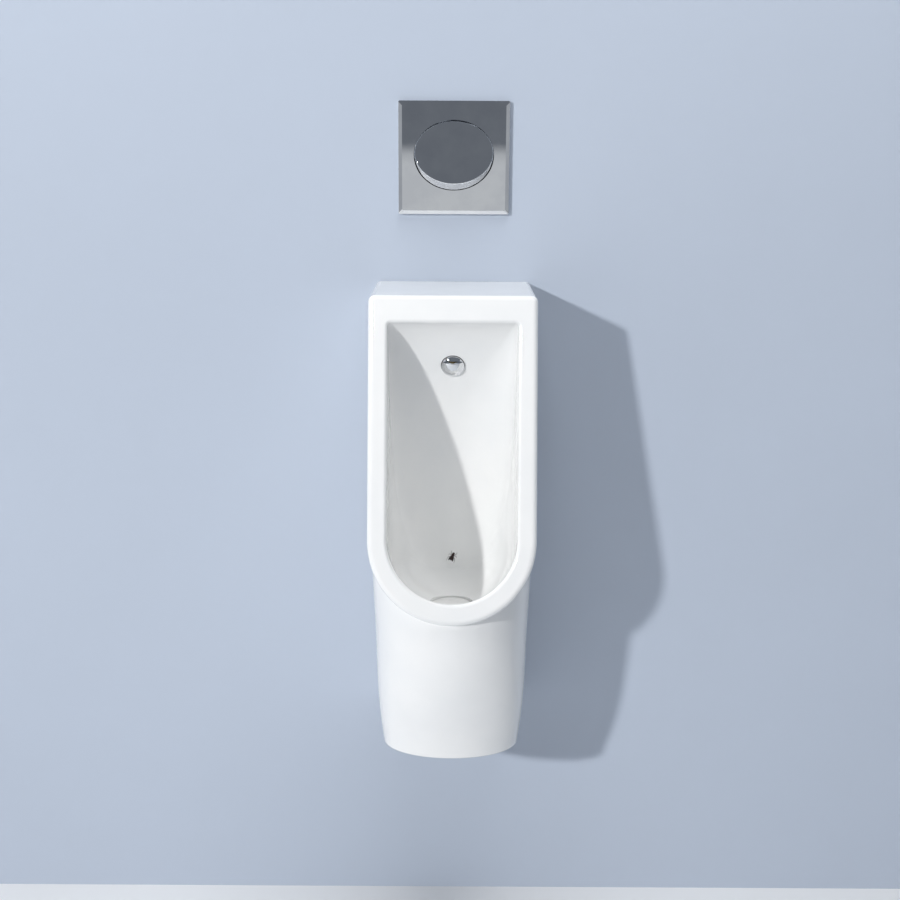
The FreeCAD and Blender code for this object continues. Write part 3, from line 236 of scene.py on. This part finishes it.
# Valve spring: a short coil of stainless wire at the cartridge's end, which pushes the spool shut.
# Its end turns lie close, and it shortens as the spool slides in.
def coil_spring(name, node, wire, turns):
    """A coil of wire in a packed spring's place, with close turns at both ends."""
    steps, sides = 40, 10
    end_gap, closed_pitch = 0.0001, 1.05 * wire
    low, high = (Vector(corner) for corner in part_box(node))
    middle = (low + high) / 2
    radius = (high.z - low.z - wire) / 2
    first_y = low.y + end_gap + wire / 2
    last_y = high.y - end_gap - wire / 2
    points, faces = [], []
    for step in range(steps * turns + 1):
        turn = step / steps
        if turn < 1:
            y = first_y + closed_pitch * turn
        elif turn > turns - 1:
            y = last_y - closed_pitch * (turns - turn)
        else:
            open_length = last_y - first_y - 2 * closed_pitch
            y = first_y + closed_pitch + open_length * (turn - 1) / (turns - 2)
        outward = Vector((math.cos(2 * math.pi * turn), 0, math.sin(2 * math.pi * turn)))
        wire_middle = Vector((middle.x, y, middle.z)) + radius * outward
        for side in range(sides):
            angle = 2 * math.pi * side / sides
            around = math.cos(angle) * outward + Vector((0, math.sin(angle), 0))
            points.append(wire_middle + wire / 2 * around)
    for step in range(steps * turns):
        for side in range(sides):
            near = step * sides + side
            beside = step * sides + (side + 1) % sides
            faces.append((near, beside, beside + sides, near + sides))
    faces.append(tuple(reversed(range(sides))))
    faces.append(tuple(range(len(points) - sides, len(points))))
    mesh = bpy.data.meshes.new(name)
    mesh.from_pydata(points, [], faces, shade_flat=False)
    mesh.materials.append(ground_steel)
    spring = bpy.data.objects.new(name, mesh)
    bpy.context.scene.collection.objects.link(spring)
    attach(spring, "urinal")
    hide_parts(node)
    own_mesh(spring)


coil_spring("valve_coil", "spool_spring", wire=0.0012, turns=4)


# Flush pipe: a bent grey plastic pipe from the valve down to the ceramic's inlet.
# A rubber sleeve seals it there.
finished(pipe_grey, "flush_pipe")
finished(black_rubber, "inlet_seal")


# Button works: a white frame screwed to the box guides the slider behind the button.
# A coil spring presses it out and a steel rod works the valve's spool.
finished(white_plastic, "mounting_frame")
finished(zinc_plate, "frame_screws")
finished(moulded_grey, "button_slider")
finished(ground_steel, "slider_clip", "push_rod")
coil_spring("button_coil", "button_spring", wire=0.0016, turns=4)


# Flush plate and button: chrome-plated, the plate bevelled all round.
# The button is a large round cap whose face is tilted up to the hand.
finished(chrome, "flush_plate", "flush_button")


# Target: a small printed fly, fired into the glaze of the bowl's back wall above the drain.
# It is a thin layer of dark ink that follows the wall.
fly_ink = surface("fly_ink", dark=(0.02, 0.011, 0.01), pale=(0.055, 0.026, 0.022), patch=0.002,
                  rough=(0.1, 0.18), grain=0.0006, depth=0.00001)
fly_middle = Vector((0.001, 0, -0.0785))
fly_turn = math.radians(-22)
fly_layer = 0.00012
leg_width, foot_share = 0.0009, 0.5
wall_search = 0.2
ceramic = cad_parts["ceramic_body"].data
bowl_wall = BVHTree.FromPolygons([vertex.co for vertex in ceramic.vertices],
                                 [face.vertices for face in ceramic.polygons])


def oval(across, up, half_width, half_height, turn, rings=3, sides=20):
    """A patch of rings: points in the fly's plane, and the faces between them."""
    points, faces = [(across, up)], []
    for ring in range(1, rings + 1):
        for side in range(sides):
            angle = 2 * math.pi * side / sides
            x = half_width * ring / rings * math.cos(angle)
            y = half_height * ring / rings * math.sin(angle)
            points.append((across + x * math.cos(turn) - y * math.sin(turn),
                           up + x * math.sin(turn) + y * math.cos(turn)))
    for ring in range(rings):
        for side in range(sides):
            outer = 1 + ring * sides + side
            outer_next = 1 + ring * sides + (side + 1) % sides
            if ring:
                faces.append((outer - sides, outer, outer_next, outer_next - sides))
            else:
                faces.append((0, outer, outer_next))
    return points, faces


def leg(*joints):
    """A strip along a leg's joints, narrowing to its foot."""
    points, faces = [], []
    for index, (across, up) in enumerate(joints):
        before = Vector(joints[max(index - 1, 0)])
        after = Vector(joints[min(index + 1, len(joints) - 1)])
        along = (after - before).normalized()
        half = leg_width / 2 * (1 - foot_share * index / (len(joints) - 1))
        points.append((across - along.y * half, up + along.x * half))
        points.append((across + along.y * half, up - along.x * half))
    for index in range(len(joints) - 1):
        first = 2 * index
        faces.append((first, first + 1, first + 3, first + 2))
    return points, faces


def on_bowl(across, up):
    """The point of the bowl's wall behind a point of the fly, and the way out of the wall."""
    start = Vector((fly_middle.x + across * math.cos(fly_turn) - up * math.sin(fly_turn), -wall_search,
                    fly_middle.z + across * math.sin(fly_turn) + up * math.cos(fly_turn)))
    place, normal, _, _ = bowl_wall.ray_cast(start, Vector((0, 1, 0)))
    return place, normal if normal.y < 0 else -normal


tail = oval(across=0, up=-0.0026, half_width=0.0021, half_height=0.0044, turn=0)
chest = oval(across=0, up=0.0026, half_width=0.0025, half_height=0.0026, turn=0)
head = oval(across=0, up=0.0061, half_width=0.0021, half_height=0.0015, turn=0)
patches = [tail, chest, head]
for side in (-1, 1):
    wing = oval(across=side * 0.0022, up=-0.0028, half_width=0.0015, half_height=0.0054, turn=side * 0.22)
    front_leg = leg((side * 0.0012, 0.0036), (side * 0.0042, 0.0058), (side * 0.0050, 0.0092))
    middle_leg = leg((side * 0.0014, 0.0022), (side * 0.0054, 0.0030), (side * 0.0070, 0.0008))
    hind_leg = leg((side * 0.0012, 0.0008), (side * 0.0058, -0.0030), (side * 0.0062, -0.0088))
    patches += [wing, front_leg, middle_leg, hind_leg]

fly_points, fly_faces = [], []
for patch_points, patch_faces in patches:
    first = len(fly_points)
    count = len(patch_points)
    hits = [on_bowl(across, up) for across, up in patch_points]
    fly_points += [place + normal * fly_layer for place, normal in hits]
    fly_points += [place - normal * fly_layer for place, normal in hits]
    edges = {}
    for face in patch_faces:
        fly_faces.append([first + corner for corner in face])
        fly_faces.append([first + count + corner for corner in reversed(face)])
        for start, end in zip(face, face[1:] + face[:1]):
            edges[start, end] = True
    for start, end in edges:
        if (end, start) not in edges:
            fly_faces.append([first + end, first + start, first + count + start, first + count + end])
fly_mesh = bpy.data.meshes.new("fly_print")
fly_mesh.from_pydata(fly_points, [], fly_faces)
fly_mesh.materials.append(fly_ink)
fly_print = bpy.data.objects.new("fly_print", fly_mesh)
bpy.context.scene.collection.objects.link(fly_print)
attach(fly_print, "urinal")


# Room: a plain pale blue wall that can be seen through from behind, and a pale floor.
# The wall is open behind the ceramic, and the rim of the bowl hangs about 0.6 m above the floor.
def room_plane(name, corners, faces, colour, see_through):
    """A flat plane of the room, matt and very faintly uneven."""
    finish, tree = empty_finish(name)
    paint = coat(tree, dark=colour, pale=[1.03 * part for part in colour], patch=0.6,
                 rough=(0.75, 0.9), grain=0.01, depth=0.0001)
    if see_through:
        behind = tree.nodes.new("ShaderNodeNewGeometry")
        clear = tree.nodes.new("ShaderNodeBsdfTransparent")
        parted(tree, behind.outputs["Backfacing"], paint, clear.outputs["BSDF"])
    else:
        tree.links.new(paint, tree.nodes["Material Output"].inputs["Surface"])
    mesh = bpy.data.meshes.new(name)
    mesh.from_pydata(corners, [], faces)
    mesh.materials.append(finish)
    plane = bpy.data.objects.new(name, mesh)
    bpy.context.scene.collection.objects.link(plane)


wall_blue, floor_white = (0.475, 0.53, 0.62), (0.8, 0.805, 0.81)
wall_y, wall_top = -0.001, 3.0
opening_half, opening_low, opening_high = 0.085, -0.3, 0.33
floor_z, floor_front, floor_back = -0.715, -6.0, 4.0
room_half = 4.0
wall_columns = (-room_half, -opening_half, opening_half, room_half)
wall_rows = (floor_z, opening_low, opening_high, wall_top)
wall_cells = [(row, column) for row in range(3) for column in range(3) if (row, column) != (1, 1)]
next_row = len(wall_columns)
wall_faces = []
for row, column in wall_cells:
    corner = next_row * row + column
    wall_faces.append((corner, corner + 1, corner + next_row + 1, corner + next_row))
room_plane("room_wall", [(x, wall_y, z) for z in wall_rows for x in wall_columns], wall_faces, wall_blue,
           see_through=True)
room_plane("room_floor", [(-room_half, floor_front, floor_z), (room_half, floor_front, floor_z),
                          (room_half, floor_back, floor_z), (-room_half, floor_back, floor_z)],
           [(0, 1, 2, 3)], floor_white, see_through=False)


# Light: one soft key from the left, a broad fill, and a lamp behind the wall for the built-in fittings.
# The room's upper half is a darker grey and its lower half pale, which the chrome shows,
# and a mid grey panel at each side, seen in reflections alone, sets off the bevels of the flush plate.
def lamp(name, place, target, size, power, mirrored=True):
    """A square soft lamp that faces a target, and that polished pieces may show."""
    data = bpy.data.lights.new(name, "AREA")
    data.size = size
    data.energy = power
    light = bpy.data.objects.new(name, data)
    light.location = place
    light.visible_glossy = mirrored
    light.rotation_euler = (Vector(target) - Vector(place)).to_track_quat("-Z", "Y").to_euler()
    bpy.context.scene.collection.objects.link(light)


lamp("key_lamp", place=(-4.75, -5.94, 2.6), target=(0, 0, 0.1), size=0.32, power=365)
lamp("top_lamp", place=(0.2, -0.9, 3.2), target=(0, -0.3, 0), size=2.0, power=62, mirrored=False)
lamp("back_lamp", place=(1.2, 2.2, 1.4), target=(0, 0, 0.2), size=1.5, power=60)

lower_grey, upper_grey = (0.55, 0.57, 0.595), (0.15, 0.165, 0.19)
horizon = (0.491, 0.496)
panel_grey = (0.38, 0.4, 0.43, 1)
panel_inner, panel_outer, panel_half = 0.8, 0.92, 0.12
world = bpy.data.worlds.new("room_light")
world.use_nodes = True
sky_nodes, sky_links = world.node_tree.nodes, world.node_tree.links
direction = sky_nodes.new("ShaderNodeTexCoord")
height = sky_nodes.new("ShaderNodeSeparateXYZ")
shade = sky_nodes.new("ShaderNodeValToRGB")
rise = sky_nodes.new("ShaderNodeMapRange")
rise.inputs["From Min"].default_value = -1
sky_links.new(direction.outputs["Generated"], height.inputs["Vector"])
sky_links.new(height.outputs["Z"], rise.inputs["Value"])
sky_links.new(rise.outputs["Result"], shade.inputs["Fac"])
sideways = compared(world.node_tree, "ABSOLUTE", height.outputs["X"], 0.0)
upward = compared(world.node_tree, "ABSOLUTE", height.outputs["Z"], 0.0)
panel = sky_nodes.new("ShaderNodeLightPath").outputs["Is Glossy Ray"]
panel_edges = (("GREATER_THAN", sideways, panel_inner), ("LESS_THAN", sideways, panel_outer),
               ("LESS_THAN", upward, panel_half))
for test, way, limit in panel_edges:
    inside = compared(world.node_tree, test, way, limit)
    panel = compared(world.node_tree, "MULTIPLY", panel, inside)
room_shades = sky_nodes.new("ShaderNodeMix")
room_shades.data_type = "RGBA"
shade_mix = {socket.identifier: socket for socket in room_shades.inputs}
shade_mix["B_Color"].default_value = panel_grey
sky_links.new(panel, shade_mix["Factor_Float"])
sky_links.new(shade.outputs["Color"], shade_mix["A_Color"])
mixed = {socket.identifier: socket for socket in room_shades.outputs}
sky_links.new(mixed["Result_Color"], sky_nodes["Background"].inputs["Color"])
graded(shade, horizon, (lower_grey, upper_grey))
bpy.context.scene.world = world
bpy.context.scene.view_settings.view_transform = "Standard"


# Camera: the photograph's own standing point, a little above the ceramic, looking down at it.
# Its lens is the photograph's angle of view on a 36 mm wide frame.
standing_point = (-0.00345, -2.0696, 0.5774)
pitch = math.radians(13.595)
roll = math.radians(0.318)
camera_data = bpy.data.cameras.new("camera")
camera_data.sensor_width = 36.0
camera_data.lens = 52.455
camera = bpy.data.objects.new("camera", camera_data)
ahead = Vector((0, math.cos(pitch), -math.sin(pitch)))
right = Vector((1, 0, 0))
over = right.cross(ahead)
right_rolled = right * math.cos(roll) + over * math.sin(roll)
over_rolled = over * math.cos(roll) - right * math.sin(roll)
turn = Matrix((right_rolled, over_rolled, -ahead)).transposed().to_4x4()
camera.matrix_world = Matrix.Translation(standing_point) @ turn
bpy.context.scene.collection.objects.link(camera)
bpy.context.scene.camera = camera
